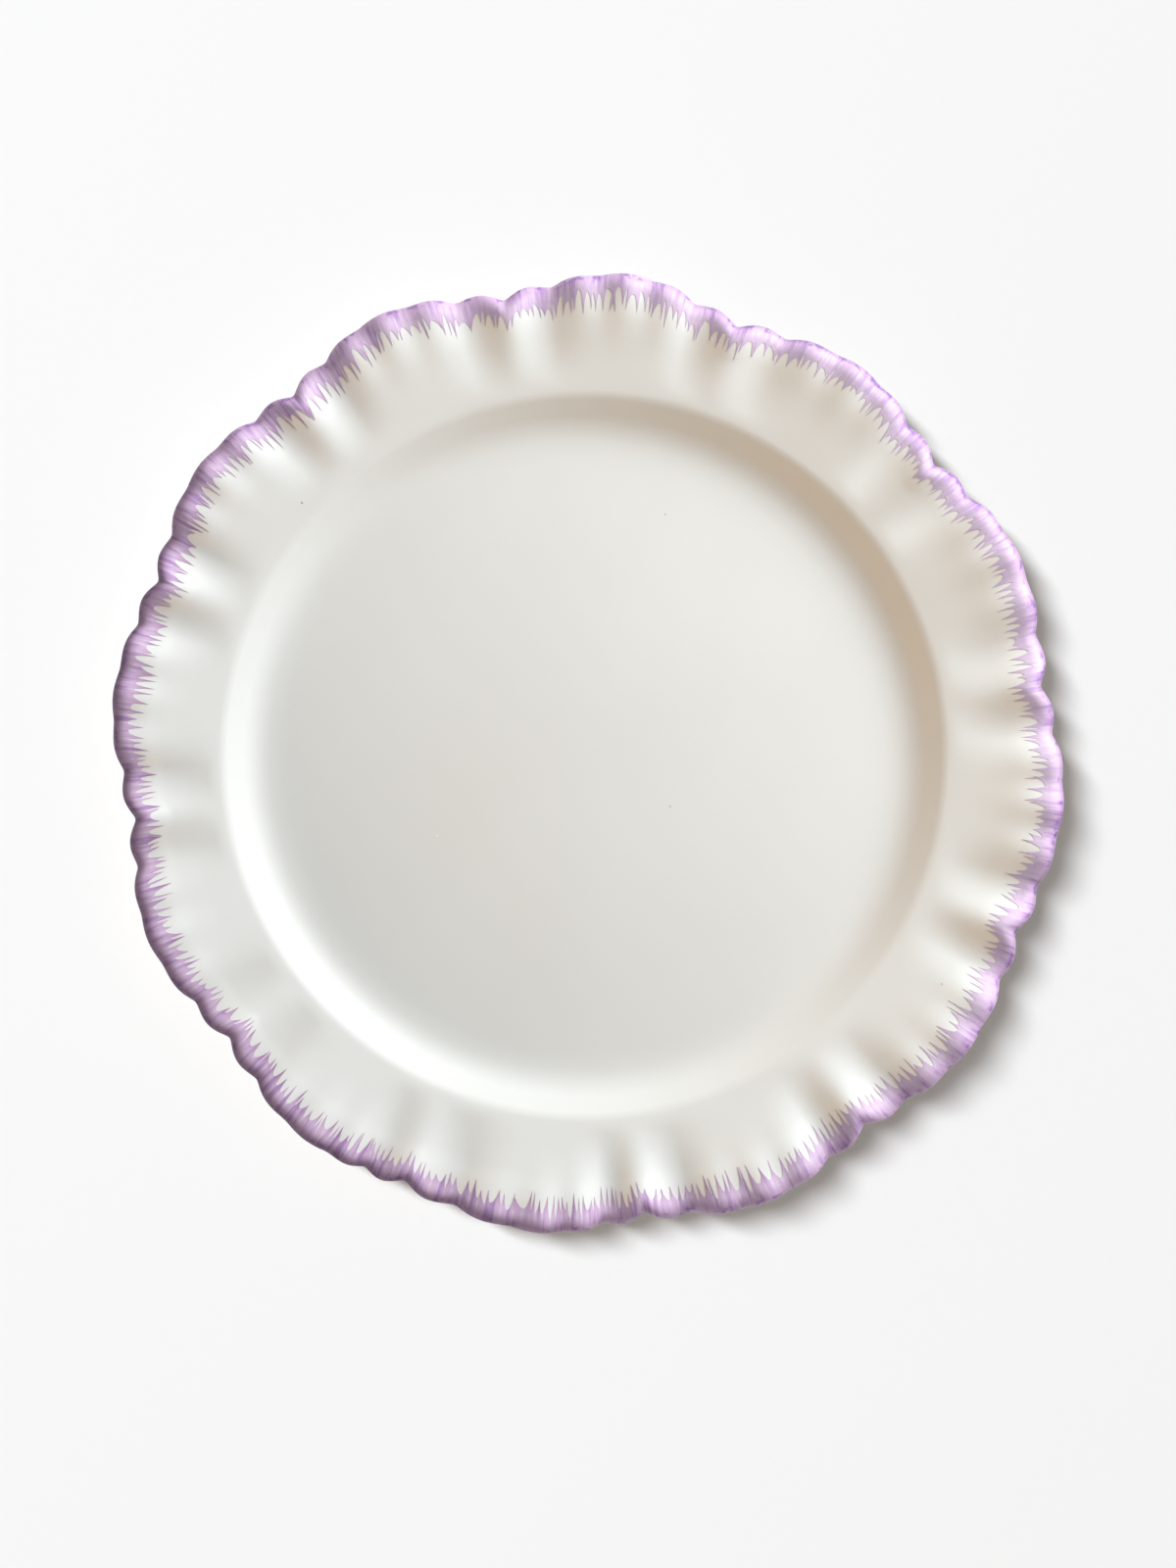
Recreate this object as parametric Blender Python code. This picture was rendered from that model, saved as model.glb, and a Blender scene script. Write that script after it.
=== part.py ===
# Charger plate with a fluted rim and a painted feather edge.
# Metres, +Z up. The origin is on the standing plane, at the centre of the foot ring.

import math
from collections import namedtuple

import bmesh
import bpy
from mathutils import Vector

# Well of the plate
FLOOR_RADIUS = 0.1054  # flat floor
COVE_RADIUS = 0.0165  # hollow curve from the floor up to the wall
WALL_ANGLE = 40.0  # slope of the straight wall, degrees
WALL_RUN = 0.0049  # straight wall between the cove and the shoulder, measured level
UNDER_SHOULDER_RADIUS = 0.0037  # underside rounding from the wall onto the rim

# Rim, from the shoulder to the top of the rolled lip
RIM_WIDTH = 0.0297
PLAIN_RIM_WIDTH = 0.0010  # smooth margin between the shoulder and the flutes
RIM_INNER_ANGLE = 13.0  # slope beside the shoulder, degrees
RIM_OUTER_ANGLE = 26.5  # slope beside the lip, degrees

# Clay
WALL_THICKNESS = 0.0050
LIP_ROLL = 0.0045  # radius of the lip's rolled upper side
LIP_UNDER_RADIUS = 0.0007  # rounding from the roll onto the underside

# Foot ring
FOOT_HEIGHT = 0.0055  # standing plane to the underside of the plate
FOOT_INSET = 0.0114  # foot's outer side to the edge of the flat floor
FOOT_LAND = 0.0040  # width of the flat standing edge
FOOT_ROUNDING = 0.0006  # chamfer on each side of the standing edge
FOOT_TAPER = 0.0012  # how far each side leans out towards the plate

# Scallops pressed by hand: where each one is widest, in degrees, how far the lip is off round there,
# and how far at the dip after it
SCALLOPS = (
    (25.0, -0.0003, -0.0017),
    (54.5, -0.0009, -0.0016),
    (85.0, 0.0009, 0.0003),
    (115.0, 0.0019, 0.0007),
    (143.0, 0.0007, 0.0000),
    (172.5, -0.0016, -0.0024),
    (203.0, -0.0023, -0.0026),
    (234.0, -0.0017, 0.0004),
    (264.5, -0.0002, 0.0001),
    (292.5, 0.0010, 0.0010),
    (322.5, 0.0014, 0.0019),
    (353.5, 0.0007, 0.0005),
)
SCALLOP_REACH = 0.0019  # how far the lip swings out at a scallop and in between two
LOBES_PER_SCALLOP = 5
NOTCH_DEPTH = 0.0016  # mean notch in the outline between two lobes
NOTCH_SWING = 0.0011  # notches are this much deeper between scallops
NOTCH_SOFTNESS = 0.35  # 0 is a sharp notch in the outline, 1 a round one
FOLD_DEPTH = 0.0044  # hollow on each side of the dip between two scallops, at the lip
FOLD_PLACE = 0.158  # bottom of that hollow, in scallops from the dip
FOLD_LEAN = 0.15  # how far a fold leans out, as a share of its depth
FLUTE_DEPTH = 0.0019  # shorter flutes on the scallop itself, at the lip

# Painted edge
PAINT_THICKNESS = 0.0004
BACK_BAND_WIDTH = 0.0020  # solid band on the underside, from the lip inward
STROKE_LENGTH = 0.0066  # longest feather stroke, from the top of the lip inward
SHORTEST_STROKE = 0.0026
STROKE_TURN = 2.4  # radians, spreads long and short strokes along the edge

SEAT_GAP = 0.0003  # between touching pieces

# Fineness of the meshes
COLUMNS_PER_LOBE = 4
WELL_COLUMNS = 100
FOOT_COLUMNS = 90
COVE_STEPS = 3
SHOULDER_STEPS = 3
BARE_RIM_STEPS = 2
LIP_STEPS = 3
UNDER_LIP_STEPS = 2

SCALLOP_COLUMNS = LOBES_PER_SCALLOP * COLUMNS_PER_LOBE
RIM_COLUMNS = len(SCALLOPS) * SCALLOP_COLUMNS
FLUTE_LENGTH = RIM_WIDTH - PLAIN_RIM_WIDTH
LIP_THICKNESS = LIP_ROLL + LIP_UNDER_RADIUS
LIP_OVERHANG = LIP_ROLL - LIP_UNDER_RADIUS  # how far the underside reaches out past the top of the lip
SHOULDER_RADIUS = UNDER_SHOULDER_RADIUS + WALL_THICKNESS
UNDERSIDE = FOOT_HEIGHT
FLOOR = UNDERSIDE + WALL_THICKNESS

# A row is one line turned about Z: its place, the way its surface faces, and its distance from the lip.
Row = namedtuple("Row", "r z face_r face_z inset")


def clear_scene():
    for old in list(bpy.data.objects):
        bpy.data.objects.remove(old, do_unlink=True)


def make_material(name, colour, roughness):
    material = bpy.data.materials.new(name)
    material.use_nodes = True
    shader = material.node_tree.nodes["Principled BSDF"]
    shader.inputs["Base Color"].default_value = (*colour, 1.0)
    shader.inputs["Roughness"].default_value = roughness
    shader.inputs["Metallic"].default_value = 0.0
    return material


def finish_piece(name, bm, material, parent):
    bmesh.ops.recalc_face_normals(bm, faces=bm.faces)
    mesh = bpy.data.meshes.new(name)
    bm.to_mesh(mesh)
    bm.free()
    mesh.shade_smooth()
    mesh.set_sharp_from_angle(angle=math.radians(40.0))
    mesh.materials.append(material)
    piece = bpy.data.objects.new(name, mesh)
    piece.parent = parent
    bpy.context.scene.collection.objects.link(piece)
    return piece


def turned(r, z, slope, radius, new_slope):
    # Where a curve of this radius arrives when its slope has changed; a negative radius bends down.
    return (
        r + radius * (math.sin(new_slope) - math.sin(slope)),
        z - radius * (math.cos(new_slope) - math.cos(slope)),
    )


def well_line():
    # The upper surface of the well as r, z and slope, from the floor's edge to the shoulder's end.
    line = [(FLOOR_RADIUS, FLOOR, 0.0)]
    wall = math.radians(WALL_ANGLE)
    rim = math.radians(RIM_INNER_ANGLE)
    for step in range(1, COVE_STEPS + 1):
        slope = wall * step / COVE_STEPS
        line.append((*turned(*line[0], COVE_RADIUS, slope), slope))
    r, z, slope = line[-1]
    top_of_wall = (r + WALL_RUN, z + WALL_RUN * math.tan(wall), wall)
    line.append(top_of_wall)
    for step in range(1, SHOULDER_STEPS + 1):
        slope = wall + (rim - wall) * step / SHOULDER_STEPS
        line.append((*turned(*top_of_wall, -SHOULDER_RADIUS, slope), slope))
    return line


def upper_row(r, z, slope, inset):
    return Row(r, z, -math.sin(slope), math.cos(slope), inset)


def lower_row(row, thickness):
    # The row on the underside, straight through the clay.
    r = row.r - row.face_r * thickness
    z = row.z - row.face_z * thickness
    return Row(r, z, -row.face_r, -row.face_z, row.inset)


def rim_row(inset):
    # The rim is one shallow curve that steepens towards the lip.
    r, z, slope = well_line()[-1]
    rise = math.sin(math.radians(RIM_OUTER_ANGLE)) - math.sin(slope)
    bend = RIM_WIDTH / rise
    here = math.asin(math.sin(slope) + (RIM_WIDTH - inset) / bend)
    return upper_row(*turned(r, z, slope, bend, here), here, inset)


def under_rim_row(inset):
    # The underside of the rim; a negative inset lies beyond the top of the lip, below its roll.
    top = rim_row(max(0.0, inset))
    beyond = max(0.0, -inset)
    thickness = LIP_THICKNESS + (WALL_THICKNESS - LIP_THICKNESS) * top.inset / RIM_WIDTH
    row = lower_row(top, thickness)
    return row._replace(r=row.r + beyond * top.face_z, z=row.z - beyond * top.face_r)


def lip_row(radius, overhang, turn):
    # A row on the rounded edge of the clay, turned from the way its top faces.
    top = rim_row(0.0)
    face_r = top.face_r * math.cos(turn) + top.face_z * math.sin(turn)
    face_z = top.face_z * math.cos(turn) - top.face_r * math.sin(turn)
    r = top.r - LIP_ROLL * top.face_r + overhang * top.face_z + radius * face_r
    z = top.z - LIP_ROLL * top.face_z - overhang * top.face_r + radius * face_z
    return Row(r, z, face_r, face_z, 0.0)


def lip_rows():
    # Over the roll of the lip and round the smaller edge below it.
    quarter = math.pi / 2
    rows = []
    for step in range(1, LIP_STEPS + 1):
        rows.append(lip_row(LIP_ROLL, 0.0, quarter * step / LIP_STEPS))
    for step in range(1, UNDER_LIP_STEPS):
        rows.append(lip_row(LIP_UNDER_RADIUS, LIP_OVERHANG, quarter * (1 + step / UNDER_LIP_STEPS)))
    return rows


def rim_place(column):
    # Scallops from the first one's middle to this column, so that each notch falls on a column.
    return (column + COLUMNS_PER_LOBE / 2) / SCALLOP_COLUMNS % len(SCALLOPS)


def place_angle(place):
    # The angle of a place, in degrees, between the middles of the scallops on either side of it.
    middle = SCALLOPS[int(place)][0]
    next_middle = SCALLOPS[(int(place) + 1) % len(SCALLOPS)][0]
    return middle + (next_middle - middle) % 360.0 * (place - int(place))


def flute_shift(place, inset):
    # How far the pressing moves a point of the rim, outward and up: the scallops and notches along its
    # slope, the folds and flutes straight down.
    share = place - int(place)
    swing = math.cos(math.tau * share)
    _, off_round, dip = SCALLOPS[int(place)]
    if share > 0.5:
        off_round = SCALLOPS[(int(place) + 1) % len(SCALLOPS)][1]
    off_round += (dip - off_round) * (1.0 - swing) / 2
    across = abs(math.cos(math.pi * place * LOBES_PER_SCALLOP))
    lobe = across + NOTCH_SOFTNESS * (across * across - across)
    notch = (NOTCH_DEPTH - NOTCH_SWING * swing) * (1.0 - lobe)
    beside = ((share - 0.5) / FOLD_PLACE) ** 2
    fold = FOLD_DEPTH * beside * math.exp(1.0 - beside)
    on_scallop = ((1.0 + swing) / 2) ** 2
    flute = FLUTE_DEPTH * on_scallop * (1.0 - across * across)
    fade = max(0.0, 1.0 - inset / FLUTE_LENGTH)
    outward = fade * (SCALLOP_REACH * swing - notch + off_round + FOLD_LEAN * fold)
    rim = rim_row(inset)
    climb = -rim.face_r / rim.face_z
    return outward, outward * climb - fade * (fold + fade * fade * flute)


def polar_point(radius, degrees, height):
    angle = math.radians(degrees)
    return Vector((radius * math.cos(angle), radius * math.sin(angle), height))


def rim_point(row, column, lift):
    # A point of the fluted rim, lifted off the clay by the given height.
    place = rim_place(column)
    outward, up = flute_shift(place, row.inset)
    radius = row.r + row.face_r * lift + outward
    height = row.z + row.face_z * lift + up
    return polar_point(radius, place_angle(place), height)


def add_ring(bm, points):
    verts = [bm.verts.new(point) for point in points]
    return [bm.edges.new((verts[k - 1], verts[k])) for k in range(len(verts))]


def rim_ring(bm, row, lift=0.0):
    return add_ring(bm, [rim_point(row, column, lift) for column in range(RIM_COLUMNS)])


def well_ring(bm, row):
    step = len(SCALLOPS) / WELL_COLUMNS
    places = [(rim_place(0) + step * column) % len(SCALLOPS) for column in range(WELL_COLUMNS)]
    return add_ring(bm, [polar_point(row.r, place_angle(place), row.z) for place in places])


def loft(bm, rings):
    for inner, outer in zip(rings, rings[1:]):
        bmesh.ops.bridge_loops(bm, edges=inner + outer)


def upper_insets():
    # Rows of the rim from the end of the flutes to the lip; the last two carry the feather strokes.
    step = (FLUTE_LENGTH - STROKE_LENGTH) / BARE_RIM_STEPS
    bare = [FLUTE_LENGTH - step * k for k in range(BARE_RIM_STEPS)]
    return bare + [STROKE_LENGTH, 0.0]


def back_band_insets():
    return [-LIP_OVERHANG, BACK_BAND_WIDTH - LIP_OVERHANG]


def build_plate_body(material, parent):
    bm = bmesh.new()
    upper_well = [upper_row(r, z, slope, FLUTE_LENGTH) for r, z, slope in well_line()]
    lower_well = [lower_row(row, WALL_THICKNESS) for row in upper_well]
    rim = [rim_row(inset) for inset in upper_insets()]
    rim += lip_rows()
    rim += [under_rim_row(inset) for inset in back_band_insets() + [FLUTE_LENGTH / 2, FLUTE_LENGTH]]
    rings = [well_ring(bm, row) for row in upper_well]
    rings += [rim_ring(bm, row) for row in rim]
    rings += [well_ring(bm, row) for row in reversed(lower_well)]
    loft(bm, rings)
    bmesh.ops.edgeloop_fill(bm, edges=rings[0])
    bmesh.ops.edgeloop_fill(bm, edges=rings[-1])
    return finish_piece("plate_body", bm, material, parent)


def build_foot_ring(material, parent):
    bm = bmesh.new()
    half_land = FOOT_LAND / 2
    half_edge = half_land + FOOT_ROUNDING
    half_top = half_edge + FOOT_TAPER
    middle = FLOOR_RADIUS - FOOT_INSET - half_top
    top = UNDERSIDE - SEAT_GAP
    section = [
        (middle - half_top, 0.0, top),
        (middle + half_top, 0.0, top),
        (middle + half_edge, 0.0, FOOT_ROUNDING),
        (middle + half_land, 0.0, 0.0),
        (middle - half_land, 0.0, 0.0),
        (middle - half_edge, 0.0, FOOT_ROUNDING),
    ]
    outline = add_ring(bm, section)
    bmesh.ops.spin(
        bm,
        geom=bm.verts[:] + outline,
        cent=(0.0, 0.0, 0.0),
        axis=(0.0, 0.0, 1.0),
        angle=math.tau,
        steps=FOOT_COLUMNS,
        use_merge=True,
    )
    return finish_piece("foot_ring", bm, material, parent)


def build_painted_edge(material, parent):
    bm = bmesh.new()
    rows = [rim_row(0.0)] + lip_rows() + [under_rim_row(inset) for inset in back_band_insets()]
    rings = [rim_ring(bm, row, SEAT_GAP) for row in rows]
    loft(bm, rings)
    # One pointed stroke between each two columns, longer and shorter in turn.
    far = rim_row(STROKE_LENGTH)
    for column, edge in enumerate(rings[0]):
        root = (edge.verts[0].co + edge.verts[1].co) / 2
        end = (rim_point(far, column - 1, SEAT_GAP) + rim_point(far, column, SEAT_GAP)) / 2
        middle_length = (STROKE_LENGTH + SHORTEST_STROKE) / 2
        length = middle_length + (STROKE_LENGTH - SHORTEST_STROKE) / 2 * math.sin(STROKE_TURN * column)
        tip = bm.verts.new(root.lerp(end, length / STROKE_LENGTH))
        bm.faces.new((edge.verts[0], edge.verts[1], tip))
    piece = finish_piece("painted_edge", bm, material, parent)
    coat = piece.modifiers.new("coat", "SOLIDIFY")
    coat.thickness = PAINT_THICKNESS
    coat.offset = 1.0
    coat.use_even_offset = True
    return piece


def main():
    clear_scene()
    plate = bpy.data.objects.new("charger_plate", None)
    bpy.context.scene.collection.objects.link(plate)
    build_plate_body(make_material("white_glaze", (0.72, 0.69, 0.63), 0.25), plate)
    build_foot_ring(make_material("bare_clay", (0.62, 0.54, 0.44), 0.85), plate)
    build_painted_edge(make_material("lilac_enamel", (0.42, 0.28, 0.58), 0.35), plate)


main()
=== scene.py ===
import math
import random

import bmesh
import bpy
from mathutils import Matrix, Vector, noise


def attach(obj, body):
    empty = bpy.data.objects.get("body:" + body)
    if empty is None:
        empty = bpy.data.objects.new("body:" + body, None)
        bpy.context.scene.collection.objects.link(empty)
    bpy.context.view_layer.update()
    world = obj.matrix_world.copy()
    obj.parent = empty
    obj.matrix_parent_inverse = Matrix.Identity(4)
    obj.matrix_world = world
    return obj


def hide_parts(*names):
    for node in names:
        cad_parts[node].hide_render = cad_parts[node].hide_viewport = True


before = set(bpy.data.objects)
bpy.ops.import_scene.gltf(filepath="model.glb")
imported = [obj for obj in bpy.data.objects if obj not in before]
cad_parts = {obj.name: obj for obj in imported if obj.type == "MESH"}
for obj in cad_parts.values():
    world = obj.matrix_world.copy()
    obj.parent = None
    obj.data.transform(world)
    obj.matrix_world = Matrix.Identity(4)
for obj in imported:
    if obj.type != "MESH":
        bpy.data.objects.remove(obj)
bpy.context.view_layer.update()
scene = bpy.context.scene
print("frame loaded:", ", ".join(sorted(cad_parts)))


# Plate shape, metres and degrees

plateShape = {
    "floorRadius": 0.1024,
    "floorHeight": 0.0105,
    "easeRadius": 0.057,    # slow curve out of the floor, then the tighter cove
    "easeAngle": 6.0,
    "coveRadius": 0.0156,
    "wallAngle": 40.0,
    "wallRun": 0.0047,
    "shoulderRadius": 0.0087,
    # distance in from the lip, slope of the rim there
    "rimLine": ((0.0300, 15.5), (0.0212, 16.0), (0.0085, 23.0), (0.0, 17.0)),
    "clay": 0.0050,
    "lipClay": 0.0052,
    "lipRoll": 0.0045,      # radius of the lip's rolled upper side
    "warp": 0.00025,        # hand-made unevenness of the whole rim
    "warpScale": 14.0,
    "warpFrom": 0.75,       # where it sets in, as a share of the shoulder's radius
}

flutes = {
    # each scallop's widest angle, how far the lip is off round there and at the dip after it,
    # how far that dip is off the middle, and the depth of the folds beside it
    "scallops": (
        (25.0, -0.0003, -0.0017, 0.00, 0.85),
        (54.5, -0.0009, -0.0016, 0.02, 0.82),
        (85.0, 0.0012, 0.0006, 0.00, 0.80),
        (115.0, 0.0019, 0.0007, 0.00, 0.94),
        (143.0, 0.0007, 0.0000, 0.00, 1.05),
        (172.5, -0.0016, -0.0023, 0.01, 1.08),
        (203.0, -0.0020, -0.0023, 0.00, 0.85),
        (234.0, -0.0016, 0.0004, -0.07, 1.08),
        (264.5, -0.0002, 0.0001, -0.04, 1.07),
        (292.5, 0.0010, 0.0010, -0.01, 1.10),
        (322.5, 0.0014, 0.0019, -0.01, 1.03),
        (353.5, 0.0007, 0.0005, -0.02, 0.88),
    ),
    "perScallop": 5,             # small lobes of the lip
    "length": 0.0292,            # top of the lip to where the flutes have faded out
    "reach": 0.0019,
    "notch": 0.0014,
    "notchSwing": 0.0012,
    "notchCrest": 0.18,          # roundness of the notches between the lobes
    "fold": 0.0048,              # hollow on each side of the dip between two scallops
    "foldPlace": 0.158,          # its bottom, in scallops from the dip
    "foldLean": 0.15,            # how far it leans out, as a share of its depth
    "flute": 0.0019,             # shorter flutes on the scallop itself
    "fadeIn": 1.15,              # above 1 the folds fade out sooner towards the well
    "softEnd": 0.2,              # share of their length over which they level out
}
scallopCount = len(flutes["scallops"])
scallopSpan = 360.0 / scallopCount
firstRidge = flutes["scallops"][0][0] + scallopSpan / flutes["perScallop"] / 2
lipRoll = plateShape["lipRoll"]
lipUnder = plateShape["lipClay"] - lipRoll
lipTravel = (lipRoll + lipUnder) * math.pi / 2


def bendTo(r, z, slope, radius, newSlope):
    return (
        r + radius * (math.sin(newSlope) - math.sin(slope)),
        z - radius * (math.cos(newSlope) - math.cos(slope)),
    )


def wellLine(steps):
    wall = math.radians(plateShape["wallAngle"])
    ease = math.radians(plateShape["easeAngle"])
    rim = math.radians(plateShape["rimLine"][0][1])
    line = [(plateShape["floorRadius"], plateShape["floorHeight"], 0.0)]

    def sweep(radius, newSlope):
        r, z, slope = line[-1]
        for step in range(1, steps + 1):
            here = slope + (newSlope - slope) * step / steps
            line.append((*bendTo(r, z, slope, radius, here), here))

    sweep(plateShape["easeRadius"], ease)
    sweep(plateShape["coveRadius"], wall)
    r, z, slope = line[-1]
    line.append((r + plateShape["wallRun"], z + plateShape["wallRun"] * math.tan(wall), wall))
    sweep(-plateShape["shoulderRadius"], rim)
    return line


rimStart = wellLine(1)[-1]


# A row is r, z, the way the clay faces there (r and z) and how far it is from the lip
def upperRow(r, z, slope, inset):
    return (r, z, -math.sin(slope), math.cos(slope), inset)


rimWidth = plateShape["rimLine"][0][0]


def rimSlope(inset):
    for (far, low), (near, high) in zip(plateShape["rimLine"], plateShape["rimLine"][1:]):
        if inset >= near:
            low, high = math.sin(math.radians(low)), math.sin(math.radians(high))
            return math.asin(low + (high - low) * (far - inset) / (far - near))


def rimRow(inset):
    # each stretch of the rim is an arc, and an arc's chord has the mean of its two slopes
    r, z, slope = rimStart
    for near, _ in plateShape["rimLine"][1:]:
        stop = max(inset, near)
        here = rimSlope(stop)
        step = rimStart[0] + rimWidth - stop - r
        r, z, slope = r + step, z + step * math.tan((slope + here) / 2), here
    return upperRow(r, z, slope, inset)


def backRow(row, clay):
    r, z, faceR, faceZ, inset = row
    return (r - faceR * clay, z - faceZ * clay, -faceR, -faceZ, inset)


def edgeRow(travel):
    # travel is along the surface from the top of the lip: inwards above zero, round to the underside below
    if travel >= 0.0:
        return rimRow(travel)
    r, z, faceR, faceZ, inset = rimRow(0.0)
    overhang = lipRoll - lipUnder
    if travel <= -lipTravel:
        inset = -travel - lipTravel - overhang
        if inset >= 0.0:
            thinning = (plateShape["clay"] - plateShape["lipClay"]) * inset / rimWidth
            return backRow(rimRow(inset), plateShape["lipClay"] + thinning)
        return backRow((r - faceZ * inset, z + faceR * inset, faceR, faceZ, 0.0), plateShape["lipClay"])
    turn, radius, shift = -travel / lipRoll, lipRoll, 0.0
    if turn > math.pi / 2:
        turn = math.pi / 2 + (-travel - lipRoll * math.pi / 2) / lipUnder
        radius, shift = lipUnder, overhang
    outR = faceR * math.cos(turn) + faceZ * math.sin(turn)
    outZ = faceZ * math.cos(turn) - faceR * math.sin(turn)
    r += radius * outR - lipRoll * faceR + shift * faceZ
    z += radius * outZ - lipRoll * faceZ - shift * faceR
    return (r, z, outR, outZ, 0.0)


def softLobe(wave, crest):
    # 1 in the middle of a lobe, 0 in the notches beside it, rounded by crest
    return (math.hypot(wave, crest) - crest) / (math.hypot(1.0, crest) - crest)


def scallopAt(angle):
    # the scallop before this angle and how far on the way to the next one it is
    place = (angle - flutes["scallops"][0][0]) / scallopSpan % scallopCount
    return int(place), place - int(place)


def handAngle(angle):
    # where an evenly spaced column really lies, in degrees
    scallop, share = scallopAt(angle)
    middle = flutes["scallops"][scallop][0]
    gap = (flutes["scallops"][(scallop + 1) % scallopCount][0] - middle) % 360.0
    late = flutes["scallops"][scallop][3]
    return middle + gap * (share + late * math.sin(math.pi * share) ** 2)


def fluteShift(angle, inset):
    # how the flutes move a point of the rim: outward and up
    scallop, share = scallopAt(angle)
    _, offRound, dip, _, depth = flutes["scallops"][scallop]
    if share > 0.5:
        offRound = flutes["scallops"][(scallop + 1) % scallopCount][1]
    swing = math.cos(math.tau * share)
    offRound += (dip - offRound) * (1.0 - swing) / 2
    wave = math.cos(math.pi * share * flutes["perScallop"])
    spread = max(0.0, 1.0 - inset / flutes["length"])
    start = min(1.0, spread / flutes["softEnd"])
    fade = spread ** flutes["fadeIn"] * start * (2.0 - start)
    notch = flutes["notch"] - flutes["notchSwing"] * swing
    notch *= 1.0 - softLobe(wave, flutes["notchCrest"])
    beside = ((share - 0.5) / flutes["foldPlace"]) ** 2
    fold = depth * flutes["fold"] * beside * math.exp(1.0 - beside)
    onScallop = ((1.0 + swing) / 2) ** 2
    short = flutes["flute"] * onScallop * (1.0 - wave * wave) * fade * fade
    outward = spread * (flutes["reach"] * swing - notch + offRound + flutes["foldLean"] * fold)
    return outward, -fade * (fold + short)


def clayPoint(row, angle, lift=0.0):
    r, z, faceR, faceZ, inset = row
    outward, up = fluteShift(angle, inset)
    up += outward * math.tan(rimSlope(inset))
    turn = math.radians(handAngle(angle))
    r += faceR * lift + outward
    spot = Vector((r * math.cos(turn), r * math.sin(turn), z + faceZ * lift + up))
    warpFrom = plateShape["warpFrom"]
    rise = min(1.0, max(0.0, r / rimStart[0] - warpFrom) / (1.0 - warpFrom))
    uneven = noise.noise(Vector((spot.x, spot.y, 0.0)) * plateShape["warpScale"])
    spot.z += rise * plateShape["warp"] * uneven
    return spot


sharpAngle = 50.0
weldDistance = 1e-6


def finishPiece(name, bm, node):
    mesh = bpy.data.meshes.new(name)
    bm.to_mesh(mesh)
    bm.free()
    mesh.shade_smooth()
    mesh.set_sharp_from_angle(angle=math.radians(sharpAngle))
    piece = bpy.data.objects.new(name, mesh)
    scene.collection.objects.link(piece)
    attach(piece, "root")
    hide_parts(node)
    print(name, "made with", len(mesh.polygons), "faces")
    return piece


def spinLine(bm, line, steps, sectors, closed=False):
    # one sector is spun, then copied round and welded, which is far quicker than one long spin
    pairs = list(zip(line, line[1:])) + [(line[-1], line[0])] * closed
    edges = [bm.edges.new(pair) for pair in pairs]
    centre, up = (0, 0, 0), (0, 0, 1)
    sector = math.tau / sectors
    bmesh.ops.spin(bm, geom=line + edges, cent=centre, axis=up, angle=sector, steps=steps // sectors)
    made = bm.verts[:] + bm.edges[:] + bm.faces[:]
    bmesh.ops.spin(bm, geom=made, cent=centre, axis=up, angle=math.tau - sector, steps=sectors - 1,
                   use_duplicate=True)
    bmesh.ops.remove_doubles(bm, verts=bm.verts, dist=weldDistance)
    bmesh.ops.recalc_face_normals(bm, faces=bm.faces)


# Glazed plate

glazedPlate = {
    "columnsPerFlute": 16,
    "floorRings": (0.0, 0.030, 0.060, 0.080, 0.095),
    "curveSteps": 7,
    "rimSteps": 20,
    "closerRows": 1.2,      # above 1 the rim's rows lie closer towards the lip
    "lipSteps": 12,
    "underSteps": 12,
}


def plateRows():
    well = wellLine(glazedPlate["curveSteps"])
    upper = [upperRow(r, plateShape["floorHeight"], 0.0, rimWidth) for r in glazedPlate["floorRings"]]
    upper += [upperRow(r, z, slope, rimWidth) for r, z, slope in well]
    back = [backRow(row, plateShape["clay"]) for row in upper[::2] + upper[-1:]]
    rimSteps = glazedPlate["rimSteps"]
    closer = glazedPlate["closerRows"]
    insets = [flutes["length"] * (1.0 - step / rimSteps) ** closer for step in range(rimSteps + 1)]
    lipSteps = glazedPlate["lipSteps"]
    lip = [-lipTravel * step / lipSteps for step in range(1, lipSteps)]
    underSteps = glazedPlate["underSteps"]
    across = flutes["length"] + lipRoll - lipUnder
    under = [-lipTravel - across * step / underSteps for step in range(underSteps + 1)]
    rim = [edgeRow(travel) for travel in insets + lip + under]
    return upper + rim + back[::-1]


def makeGlazedPlate():
    bm = bmesh.new()
    rowOf = bm.verts.layers.int.new("row")
    rows = plateRows()
    start = math.radians(firstRidge)
    line = []
    for number, (r, z, *rest) in enumerate(rows):
        line.append(bm.verts.new((r * math.cos(start), r * math.sin(start), z)))
        line[-1][rowOf] = number
    columns = scallopCount * flutes["perScallop"] * glazedPlate["columnsPerFlute"]
    spinLine(bm, line, columns, scallopCount)
    for vert in bm.verts:
        angle = math.degrees(math.atan2(vert.co.y, vert.co.x)) % 360.0
        vert.co = clayPoint(rows[vert[rowOf]], angle)
    return finishPiece("glazedPlate", bm, "plate_body")


plate = makeGlazedPlate()


# Feather edge: one brushed coat over the lip that runs inwards in pointed strokes

featherEdge = {
    "strokes": 434,
    "sectors": 31,
    "tips": (0.0029, 0.0081),      # travel of a stroke's point
    "swell": 0.8,                  # slow swing between long and short strokes
    "swellScale": 9.0,
    "chance": 0.42,                # and how much each stroke strays from it
    "gaps": (-0.0009, 0.0019),     # travel where two strokes part
    "across": (0.0, 0.18, 0.36, 0.5, 0.64, 0.82),    # columns of one stroke
    "point": 2.2,                  # above 1 the strokes are slimmer
    "spread": 0.30,                # uneven spacing, as a share of a stroke's width
    "lean": 0.30,                  # degrees that a point leans along the edge
    "bandTop": -0.0035,            # travel where the rows of the strokes begin
    "backBand": 0.0020,            # how far the coat reaches on the underside
    "bandRows": 8,
    "lipRows": 6,
    "sunk": 0.00004,
    "coat": 0.00014,
    "seed": 7,
}


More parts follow.
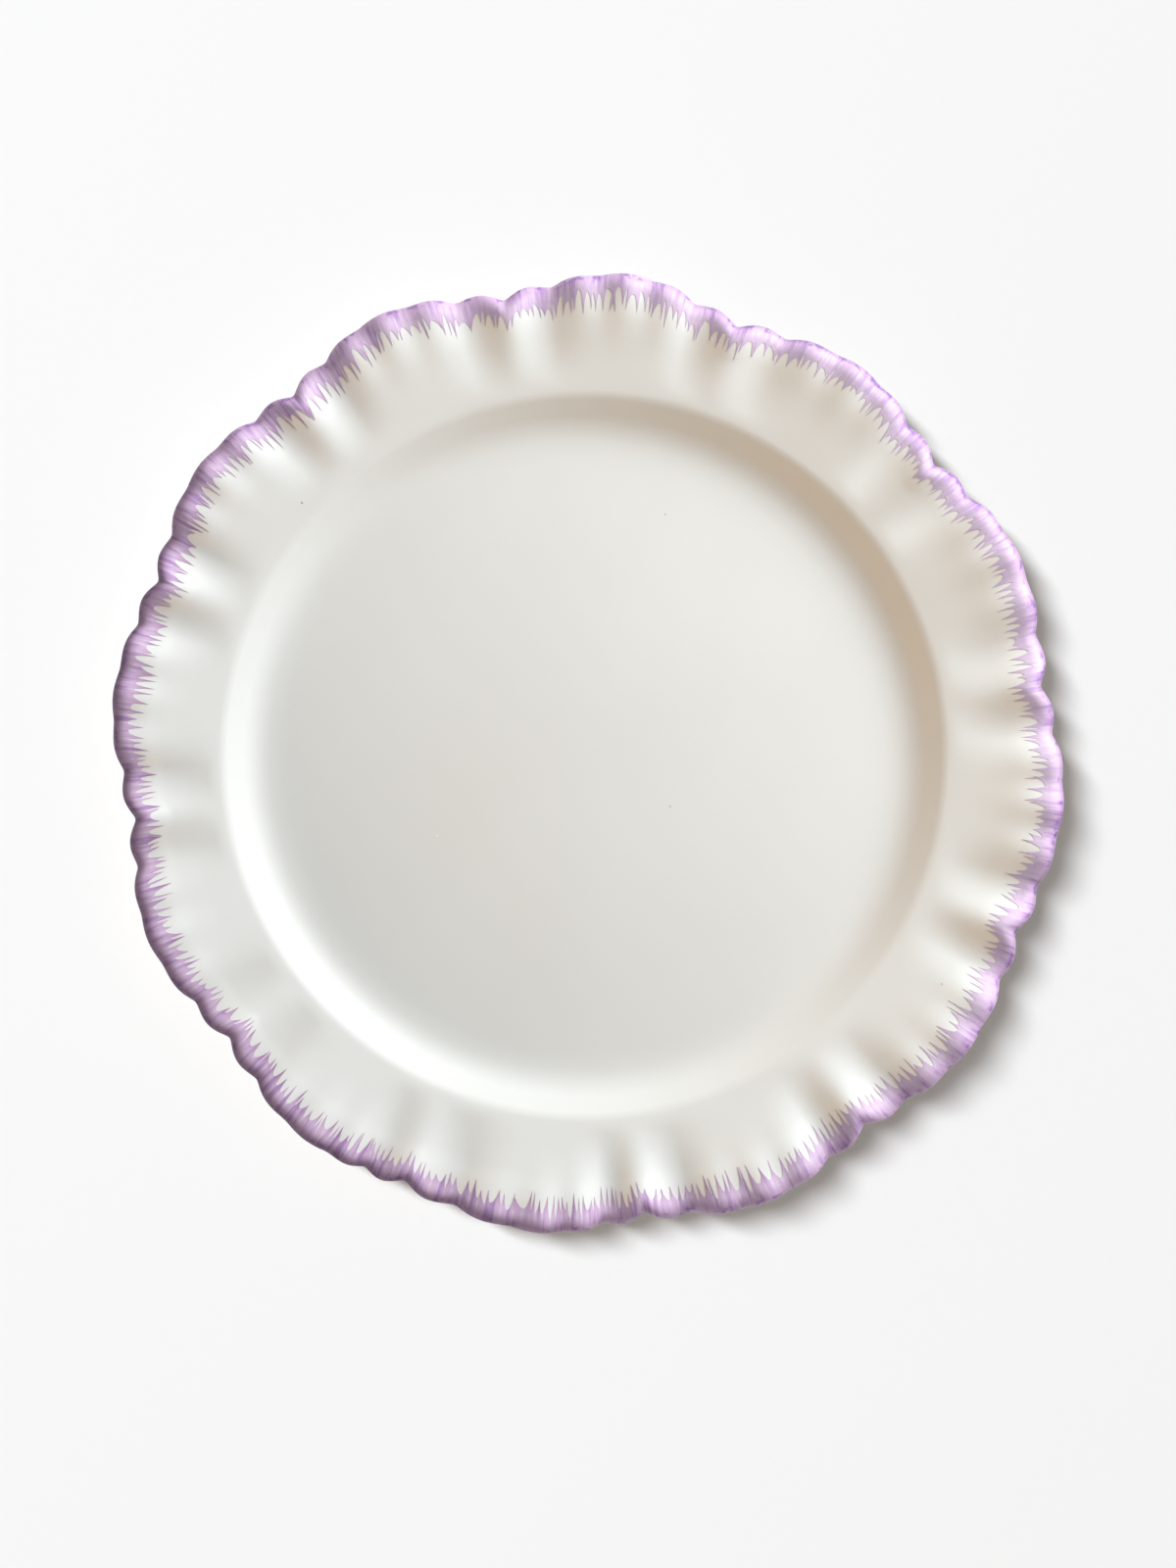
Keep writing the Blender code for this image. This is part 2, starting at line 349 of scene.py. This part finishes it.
def drawStrokes():
    rng = random.Random(featherEdge["seed"])
    pitch = 360.0 / featherEdge["strokes"]
    strokes = []
    for number in range(featherEdge["strokes"]):
        turn = math.radians(number * pitch)
        swell = noise.noise(Vector((math.cos(turn), math.sin(turn), 0.5)) * featherEdge["swellScale"])
        stray = featherEdge["swell"] * swell + rng.gauss(0.0, featherEdge["chance"])
        low, high = featherEdge["tips"]
        tip = (low + high) / 2 + (high - low) / 2 * max(-1.0, min(1.0, stray))
        strokes.append({
            "start": pitch * (number + rng.uniform(-1, 1) * featherEdge["spread"]),
            "tip": tip,
            "gap": rng.uniform(*featherEdge["gaps"]),
            "lean": rng.gauss(0.0, featherEdge["lean"]),
            "tone": rng.random(),
        })
    return strokes


def makeFeatherEdge():
    strokes = drawStrokes()
    perStroke = len(featherEdge["across"])
    columns = len(strokes) * perStroke
    bm = bmesh.new()
    layers = bm.verts.layers
    angleOf = layers.float.new("angle")
    travelOf = layers.float.new("travel")
    gapOf = layers.float.new("gapShare")
    toneOf = layers.float.new("strokeTone")
    brushOf = layers.float_vector.new("brush")
    bandTop = featherEdge["bandTop"]
    lipRows = featherEdge["lipRows"]
    under = [-lipTravel - featherEdge["backBand"], -lipTravel - featherEdge["backBand"] / 2]
    fixed = under + [-lipTravel + (lipTravel + bandTop) * step / lipRows for step in range(lipRows)]
    bandRows = featherEdge["bandRows"]
    rowCount = len(fixed) + bandRows + 1
    line = [bm.verts.new((1.0, 0.0, row)) for row in range(rowCount)]
    spinLine(bm, line, columns, featherEdge["sectors"])
    lipRadius = rimRow(0.0)[0]
    for vert in bm.verts:
        row = round(vert.co.z)
        column = round(math.atan2(vert.co.y, vert.co.x) / math.tau * columns) % columns
        stroke = strokes[column // perStroke]
        after = strokes[(column // perStroke + 1) % len(strokes)]
        across = featherEdge["across"][column % perStroke]
        aside = abs(2.0 * across - 1.0)
        gap = stroke["gap"] if across < 0.5 else after["gap"]
        end = gap + (stroke["tip"] - gap) * (1.0 - aside) ** featherEdge["point"]
        share = max(0.0, (row - len(fixed)) / bandRows)
        vert[travelOf] = fixed[row] if row < len(fixed) else bandTop + (end - bandTop) * share
        angle = stroke["start"] + (after["start"] - stroke["start"]) % 360.0 * across
        vert[angleOf] = angle + stroke["lean"] * (1.0 - aside) * share * share
        vert[gapOf] = aside
        vert[toneOf] = stroke["tone"]
        turn = math.radians(vert[angleOf])
        vert[brushOf] = (lipRadius * math.cos(turn), lipRadius * math.sin(turn), vert[travelOf])
    bottom = bm.verts[:]
    bmesh.ops.extrude_face_region(bm, geom=bm.faces[:], use_keep_orig=True)
    sunk = set(bottom)
    for vert in bm.verts:
        lift = -featherEdge["sunk"] if vert in sunk else featherEdge["coat"]
        vert.co = clayPoint(edgeRow(vert[travelOf]), vert[angleOf] % 360.0, lift)
    bmesh.ops.recalc_face_normals(bm, faces=bm.faces)
    return finishPiece("featherEdge", bm, "painted_edge")


feather = makeFeatherEdge()


# Foot ring

footRing = {
    "outerRadius": 0.094,
    "land": 0.0040,
    "rounding": 0.0006,
    "taper": 0.0012,
    "height": 0.0055,
    "seated": 0.0002,      # how far it is pressed into the underside
    "flare": 0.0016,       # fillet of slip where the ring meets the underside
    "flareHollow": 0.35,
    "softening": 0.45,     # of the standing edge, as a share of its rounding
    "columns": 240,
    "sectors": 12,
}


def makeFootRing():
    bm = bmesh.new()
    land = footRing["land"] / 2
    edge = land + footRing["rounding"]
    top = edge + footRing["taper"]
    middle = footRing["outerRadius"] - top
    flare = footRing["flare"]
    hollow = footRing["flareHollow"] * flare
    height = footRing["height"] + footRing["seated"]
    half = [(top + flare, height), (top + hollow, height - hollow), (top, height - flare)]
    half += [(edge, footRing["rounding"]), (land, 0.0)]
    section = [(middle + x, z) for x, z in half] + [(middle - x, z) for x, z in reversed(half)]
    line = [bm.verts.new((r, 0.0, z)) for r, z in section]
    spinLine(bm, line, footRing["columns"], footRing["sectors"], closed=True)
    creases = [e for e in bm.edges if max(v.co.z for v in e.verts) < footRing["rounding"] * 1.1]
    rings = [e for e in creases if abs(e.verts[0].co.xy.length - e.verts[1].co.xy.length) < weldDistance]
    bmesh.ops.bevel(bm, geom=rings, offset=footRing["rounding"] * footRing["softening"], segments=2,
                    profile=0.5, affect="EDGES", material=-1)
    return finishPiece("footRing", bm, "foot_ring")


foot = makeFootRing()


# Materials

def addNode(tree, kind, inputs=None, **options):
    made = tree.nodes.new("ShaderNode" + kind)
    for name, value in options.items():
        setattr(made, name, value)
    for name, value in (inputs or {}).items():
        if isinstance(value, bpy.types.NodeSocket):
            tree.links.new(value, made.inputs[name])
        else:
            made.inputs[name].default_value = value
    return made


def colourMix(tree, share, first, second, blend="MIX"):
    mixed = addNode(tree, "Mix", {0: share, 6: first, 7: second}, data_type="RGBA", blend_type=blend)
    return mixed.outputs[2]


def smoothRange(tree, value, low, high, toLow=0.0, toHigh=1.0):
    inputs = {"Value": value, "From Min": low, "From Max": high, "To Min": toLow, "To Max": toHigh}
    return addNode(tree, "MapRange", inputs, interpolation_type="SMOOTHSTEP").outputs[0]


def calc(tree, operation, first, second=0.0):
    return addNode(tree, "Math", {0: first, 1: second}, operation=operation).outputs[0]


def attribute(tree, name, output="Fac"):
    return addNode(tree, "Attribute", attribute_name=name).outputs[output]


def noiseAt(tree, vector, scale, detail):
    return addNode(tree, "TexNoise", {"Vector": vector, "Scale": scale, "Detail": detail}).outputs["Fac"]


def makeMottle():
    group = bpy.data.node_groups.new("handMottle", "ShaderNodeTree")
    face = group.interface
    face.new_socket("Vector", in_out="INPUT", socket_type="NodeSocketVector")
    face.new_socket("Cloud Scale", in_out="INPUT", socket_type="NodeSocketFloat")
    face.new_socket("Grain Scale", in_out="INPUT", socket_type="NodeSocketFloat")
    for name in ("Cloud", "Grain", "Height"):
        face.new_socket(name, in_out="OUTPUT", socket_type="NodeSocketFloat")
    inward = group.nodes.new("NodeGroupInput").outputs
    outward = group.nodes.new("NodeGroupOutput").inputs
    place = inward["Vector"]
    cloud = noiseAt(group, place, inward["Cloud Scale"], 3.0)
    grain = noiseAt(group, place, inward["Grain Scale"], 2.0)
    group.links.new(cloud, outward["Cloud"])
    group.links.new(grain, outward["Grain"])
    group.links.new(calc(group, "ADD", cloud, calc(group, "MULTIPLY", grain, 0.12)), outward["Height"])
    return group


mottleGroup = makeMottle()


def mottle(tree, vector, cloudScale, grainScale):
    made = addNode(tree, "Group", node_tree=mottleGroup)
    tree.links.new(vector, made.inputs["Vector"])
    made.inputs["Cloud Scale"].default_value = cloudScale
    made.inputs["Grain Scale"].default_value = grainScale
    return made.outputs


def newMaterial(name):
    material = bpy.data.materials.new(name)
    material.use_nodes = True
    tree = material.node_tree
    return material, tree, tree.nodes["Principled BSDF"]


def objectPlace(tree):
    return addNode(tree, "TexCoord").outputs["Object"]


def addBump(tree, shader, height, distance):
    bump = addNode(tree, "Bump", {"Height": height, "Distance": distance, "Strength": 1.0})
    tree.links.new(bump.outputs["Normal"], shader.inputs["Normal"])


whiteGlaze = {
    "thick": (0.770, 0.760, 0.722, 1.0),
    "thin": (0.825, 0.818, 0.788, 1.0),
    "paintedLightFrom": (0.136, 0.149),     # distance from the centre beyond which the glaze is painted lighter towards the lip, painted light on the outer rim
    "roughness": (0.40, 0.46),
    "gloss": 0.25,
    "cloudScale": 16.0,
    "grainScale": 220.0,
    "ripple": 0.000015,
    "upperSide": (0.008, 0.010),    # heights between the underside and the floor of the well
    # glaze marks: x, y, radius in metres, colour
    "marks": (
        (-0.0960, 0.0860, 0.00045, (0.28, 0.26, 0.23, 1.0)),
        (0.0278, 0.0830, 0.00040, (0.50, 0.48, 0.43, 1.0)),
        (0.0295, -0.0173, 0.00040, (0.45, 0.43, 0.39, 1.0)),
        (-0.0504, -0.0273, 0.00050, (0.93, 0.93, 0.91, 1.0)),
        (0.1211, -0.0774, 0.00060, (0.62, 0.58, 0.50, 1.0)),
    ),
}


def makeWhiteGlaze():
    material, tree, shader = newMaterial("whiteGlaze")
    place = objectPlace(tree)
    cloudy = mottle(tree, place, whiteGlaze["cloudScale"], whiteGlaze["grainScale"])
    flat = addNode(tree, "VectorMath", {0: place, 1: (1.0, 1.0, 0.0)}, operation="MULTIPLY").outputs[0]
    outward = addNode(tree, "VectorMath", {0: flat}, operation="LENGTH").outputs["Value"]
    # random mottle, and towards the lip a lighter glaze that is painted light on the outer rim
    mottleAndPaintedLight = calc(tree, "MAXIMUM", cloudy["Cloud"], smoothRange(tree, outward, *whiteGlaze["paintedLightFrom"]))
    colour = colourMix(tree, mottleAndPaintedLight, whiteGlaze["thick"], whiteGlaze["thin"])
    height = addNode(tree, "SeparateXYZ", {0: place}).outputs["Z"]
    above = smoothRange(tree, height, *whiteGlaze["upperSide"])
    for x, y, radius, tint in whiteGlaze["marks"]:
        away = addNode(tree, "VectorMath", {0: flat, 1: (x, y, 0.0)}, operation="DISTANCE").outputs["Value"]
        inside = calc(tree, "MULTIPLY", above, smoothRange(tree, away, radius, radius * 0.4))
        colour = colourMix(tree, inside, colour, tint)
    low, high = whiteGlaze["roughness"]
    tree.links.new(colour, shader.inputs["Base Color"])
    tree.links.new(smoothRange(tree, cloudy["Grain"], 0.3, 0.7, low, high), shader.inputs["Roughness"])
    shader.inputs["Specular IOR Level"].default_value = whiteGlaze["gloss"]
    addBump(tree, shader, cloudy["Height"], whiteGlaze["ripple"])
    return material


lilacEnamel = {
    "coat": (0.650, 0.445, 0.660, 1.0),
    "thin": (0.690, 0.490, 0.690, 1.0),
    "streak": (0.68, 0.58, 0.78, 1.0),
    "pale": (0.800, 0.720, 0.830, 1.0),     # thin lines where two strokes part
    "patch": (0.62, 0.50, 0.78, 1.0),
    "deepTip": (0.72, 0.66, 0.63, 1.0),
    "paleTip": (0.78, 0.63, 0.76, 1.0),     # the strokes are paler on one side of the plate
    "paleSide": 25.0,
    "edge": (0.60, 0.57, 0.64, 1.0),        # darker round the lip on that side and opposite: painted shade, partly the paint's own dark line at the edge
    "lipShadeAway": (0.62, 0.55, 0.58, 1.0),    # and more painted shade on the lip opposite, the side away from the key lamp
    # travel from the top of the lip over which each of them comes in
    "paleTravel": (-0.0053, 0.0004),
    "patchTravel": (-0.0028, -0.0050),
    "edgeShadeTravel": (-0.0034, -0.0060),
    "lipShadeAwayTravel": (-0.0018, -0.0046),
    "deepTipTravel": (0.0, 0.0060),
    "paleTipTravel": (-0.0035, 0.0),
    # metres from the plate's centre towards the pale side
    "paleReach": (-0.10, 0.13),
    "edgeShadeReach": (0.05, 0.13),
    "awaySideReach": (-0.03, -0.12),
    "brushed": 0.12,                        # the smaller, the longer the streaks
    "streakScale": 620.0,
    "broadScale": 130.0,
    "blotScale": 330.0,
    "relief": 0.00003,
    "roughness": 0.52,
    "gloss": 0.35,
}


def makeLilacEnamel():
    material, tree, shader = newMaterial("lilacEnamel")
    stroke = attribute(tree, "brush", "Vector")
    travel = attribute(tree, "travel")
    stretch = (1.0, 1.0, lilacEnamel["brushed"])
    brush = addNode(tree, "Mapping", {"Vector": stroke, "Scale": stretch}).outputs[0]
    streak = noiseAt(tree, brush, lilacEnamel["streakScale"], 3.0)
    broad = noiseAt(tree, brush, lilacEnamel["broadScale"], 2.0)
    blot = noiseAt(tree, stroke, lilacEnamel["blotScale"], 2.0)
    side = math.radians(lilacEnamel["paleSide"])
    toSide = (math.cos(side), math.sin(side), 0.0)
    reach = addNode(tree, "VectorMath", {0: stroke, 1: toSide}, operation="DOT_PRODUCT").outputs["Value"]

    def along(name, *shares):
        return smoothRange(tree, travel, *lilacEnamel[name], *shares)

    def both(first, second):
        return calc(tree, "MULTIPLY", first, second)

    def deepen(colour, share, name):
        return colourMix(tree, share, colour, lilacEnamel[name], "MULTIPLY")

    colour = colourMix(tree, smoothRange(tree, broad, 0.35, 0.65), lilacEnamel["coat"], lilacEnamel["thin"])
    parting = smoothRange(tree, attribute(tree, "gapShare"), 0.45, 1.0, 0.0, 0.5)
    colour = colourMix(tree, both(parting, along("paleTravel")), colour, lilacEnamel["pale"])
    toned = calc(tree, "ADD", streak, both(attribute(tree, "strokeTone"), 0.12))
    colour = deepen(colour, smoothRange(tree, toned, 0.52, 0.74), "streak")
    colour = deepen(colour, both(smoothRange(tree, blot, 0.54, 0.64), along("patchTravel")), "patch")
    # painted shade round the lip on the side towards the key lamp and opposite, partly the paint's own dark
    # edge
    aside = smoothRange(tree, calc(tree, "ABSOLUTE", reach), *lilacEnamel["edgeShadeReach"])
    colour = deepen(colour, both(aside, along("edgeShadeTravel")), "edge")
    # more painted shade on the lip on the side away from the key lamp
    opposite = smoothRange(tree, reach, *lilacEnamel["awaySideReach"])
    colour = deepen(colour, both(opposite, along("lipShadeAwayTravel")), "lipShadeAway")
    colour = deepen(colour, along("deepTipTravel"), "deepTip")
    onPaleSide = smoothRange(tree, reach, *lilacEnamel["paleReach"])
    faint = both(onPaleSide, along("paleTipTravel", 0.0, 0.55))
    colour = colourMix(tree, faint, colour, lilacEnamel["paleTip"])
    tree.links.new(colour, shader.inputs["Base Color"])
    shader.inputs["Roughness"].default_value = lilacEnamel["roughness"]
    shader.inputs["Specular IOR Level"].default_value = lilacEnamel["gloss"]
    addBump(tree, shader, streak, lilacEnamel["relief"])
    return material


bareClay = {
    "clay": (0.62, 0.54, 0.44, 1.0),
    "dust": (0.70, 0.63, 0.53, 1.0),
    "glaze": (0.790, 0.780, 0.742, 1.0),
    "glazeLine": 0.0022,    # height above the table where the wiped glaze begins
    "glazeWave": 0.0016,
    "glazeBlur": 0.0002,
    "cloudScale": 90.0,
    "grainScale": 1400.0,
    "grit": 0.00008,
    "roughness": (0.85, 0.32),
}


def makeBareClay():
    material, tree, shader = newMaterial("bareClay")
    place = objectPlace(tree)
    grainy = mottle(tree, place, bareClay["cloudScale"], bareClay["grainScale"])
    clay = colourMix(tree, grainy["Grain"], bareClay["clay"], bareClay["dust"])
    height = addNode(tree, "SeparateXYZ", {0: place}).outputs["Z"]
    wave, blur = bareClay["glazeWave"], bareClay["glazeBlur"]
    wavy = calc(tree, "ADD", calc(tree, "MULTIPLY", grainy["Cloud"], wave), bareClay["glazeLine"] - wave / 2)
    glazed = smoothRange(tree, calc(tree, "SUBTRACT", height, wavy), -blur, blur)
    tree.links.new(colourMix(tree, glazed, clay, bareClay["glaze"]), shader.inputs["Base Color"])
    rough, smooth = bareClay["roughness"]
    tree.links.new(smoothRange(tree, glazed, 0.0, 1.0, rough, smooth), shader.inputs["Roughness"])
    addBump(tree, shader, grainy["Grain"], bareClay["grit"])
    return material


plate.data.materials.append(makeWhiteGlaze())
feather.data.materials.append(makeLilacEnamel())
foot.data.materials.append(makeBareClay())
print("materials made:", ", ".join(m.name for m in bpy.data.materials if m.users))


# Studio: floor, light and camera

studio = {
    "floorSize": 6.0,
    "floorDrop": 0.0002,    # keeps the floor clear of the standing edge
    "footLight": 0.015,     # fill light passes the floor this close under the plate
    "floorColour": (0.93, 0.912, 0.875, 1.0),
    "floorRoughness": 0.9,
    "floorGloss": 0.1,
    "floorFade": (0.36, 1.3),    # distance from the plate over which the floor turns into the backdrop
    "fillColour": (1.0, 0.945, 0.905),
    "fillStrength": 0.30,
    "backdrop": (0.94, 0.94, 0.93, 1.0),
    "cameraHeight": 1.125,
    "cameraOffset": (0.0013, -0.0096),
    "lipHeight": 0.0287,
    "metresPerPixel": 0.000331,
    "imageSize": (1200, 1600),
}


# degrees and metres from the plate's centre, watts
lamps = {
    "keyLamp": {
        "azimuth": 39.0,
        "elevation": 28.0,
        "distance": 0.85,
        "size": (0.6, 0.6),
        "power": 10.65,
        "colour": (0.917, 0.968, 1.0),
    },
    "warmLamp": {
        "azimuth": 210.0,
        "elevation": 6.0,
        "distance": 1.0,
        "size": (1.4, 0.5),
        "power": 7.2,
        "colour": (1.0, 0.56, 0.14),
    },
    "sideLamp": {
        "azimuth": 145.0,
        "elevation": 64.0,
        "distance": 9.0,
        "size": (1.2, 4.4),
        "power": 732.0,
        "colour": (0.885, 0.930, 1.0),
    },
}


def lookedAt(tree):
    # rays that show the background itself: seen, mirrored or through glass
    path = addNode(tree, "LightPath").outputs
    mirrored = calc(tree, "MAXIMUM", path["Is Glossy Ray"], path["Is Transmission Ray"])
    return calc(tree, "MAXIMUM", path["Is Camera Ray"], mirrored)


def makeFloor():
    bm = bmesh.new()
    bmesh.ops.create_grid(bm, x_segments=2, y_segments=2, size=studio["floorSize"] / 2)
    bmesh.ops.translate(bm, verts=bm.verts, vec=(0.0, 0.0, -studio["floorDrop"]))
    mesh = bpy.data.meshes.new("floor")
    bm.to_mesh(mesh)
    bm.free()
    floor = bpy.data.objects.new("floor", mesh)
    scene.collection.objects.link(floor)
    material, tree, shader = newMaterial("paleFloor")
    shader.inputs["Base Color"].default_value = studio["floorColour"]
    shader.inputs["Roughness"].default_value = studio["floorRoughness"]
    shader.inputs["Specular IOR Level"].default_value = studio["floorGloss"]
    # clear from below and close under the plate, so that views of the foot aren't hidden or black
    below = addNode(tree, "NewGeometry").outputs["Backfacing"]
    near = calc(tree, "LESS_THAN", addNode(tree, "LightPath").outputs["Ray Length"], studio["footLight"])
    clear = addNode(tree, "BsdfTransparent").outputs[0]
    away = addNode(tree, "VectorMath", {0: objectPlace(tree)}, operation="LENGTH").outputs["Value"]
    far = calc(tree, "MULTIPLY", lookedAt(tree), smoothRange(tree, away, *studio["floorFade"]))
    seen = addNode(tree, "Emission", {"Color": studio["backdrop"], "Strength": 1.0}).outputs[0]
    faded = addNode(tree, "MixShader", {0: far, 1: shader.outputs[0], 2: seen}).outputs[0]
    shares = {0: calc(tree, "MAXIMUM", below, near), 1: faded, 2: clear}
    shown = addNode(tree, "MixShader", shares).outputs[0]
    tree.links.new(shown, tree.nodes["Material Output"].inputs["Surface"])
    mesh.materials.append(material)
    return floor


def aimedLamp(name, receivers):
    values = lamps[name]
    lamp = bpy.data.lights.new(name, "AREA")
    lamp.shape = "ELLIPSE"
    lamp.size, lamp.size_y = values["size"]
    lamp.energy = values["power"]
    lamp.color = values["colour"]
    holder = bpy.data.objects.new(name, lamp)
    around, up = math.radians(values["azimuth"]), math.radians(values["elevation"])
    toLamp = Vector((math.cos(up) * math.cos(around), math.cos(up) * math.sin(around), math.sin(up)))
    holder.location = toLamp * values["distance"]
    holder.rotation_euler = toLamp.to_track_quat("Z", "Y").to_euler()
    scene.collection.objects.link(holder)
    lit = bpy.data.collections.new(name + "Receivers")
    for piece in receivers:
        lit.objects.link(piece)
    holder.light_linking.receiver_collection = lit


def makeWorld():
    world = bpy.data.worlds.new("studio")
    scene.world = world
    world.use_nodes = True
    tree = world.node_tree
    fill = tree.nodes["Background"]
    fill.inputs["Color"].default_value = (*studio["fillColour"], 1.0)
    fill.inputs["Strength"].default_value = studio["fillStrength"]
    seen = addNode(tree, "Background", {"Color": studio["backdrop"], "Strength": 1.0})
    show = addNode(tree, "MixShader", {0: lookedAt(tree), 1: fill.outputs[0], 2: seen.outputs[0]})
    tree.links.new(show.outputs[0], tree.nodes["World Output"].inputs["Surface"])


def makeCamera():
    lens = bpy.data.cameras.new("photoCamera")
    camera = bpy.data.objects.new("photoCamera", lens)
    camera.location = (*studio["cameraOffset"], studio["cameraHeight"])
    halfHeight = studio["imageSize"][1] * studio["metresPerPixel"] / 2
    lens.sensor_width = 36.0
    lens.lens = lens.sensor_width / 2 * (studio["cameraHeight"] - studio["lipHeight"]) / halfHeight
    lens.clip_start = 0.01
    scene.collection.objects.link(camera)
    scene.camera = camera


floor = makeFloor()
makeWorld()
aimedLamp("keyLamp", [plate, feather, foot])
aimedLamp("warmLamp", [plate])
aimedLamp("sideLamp", [floor])
makeCamera()
scene.view_settings.view_transform = "Standard"
print("studio ready")
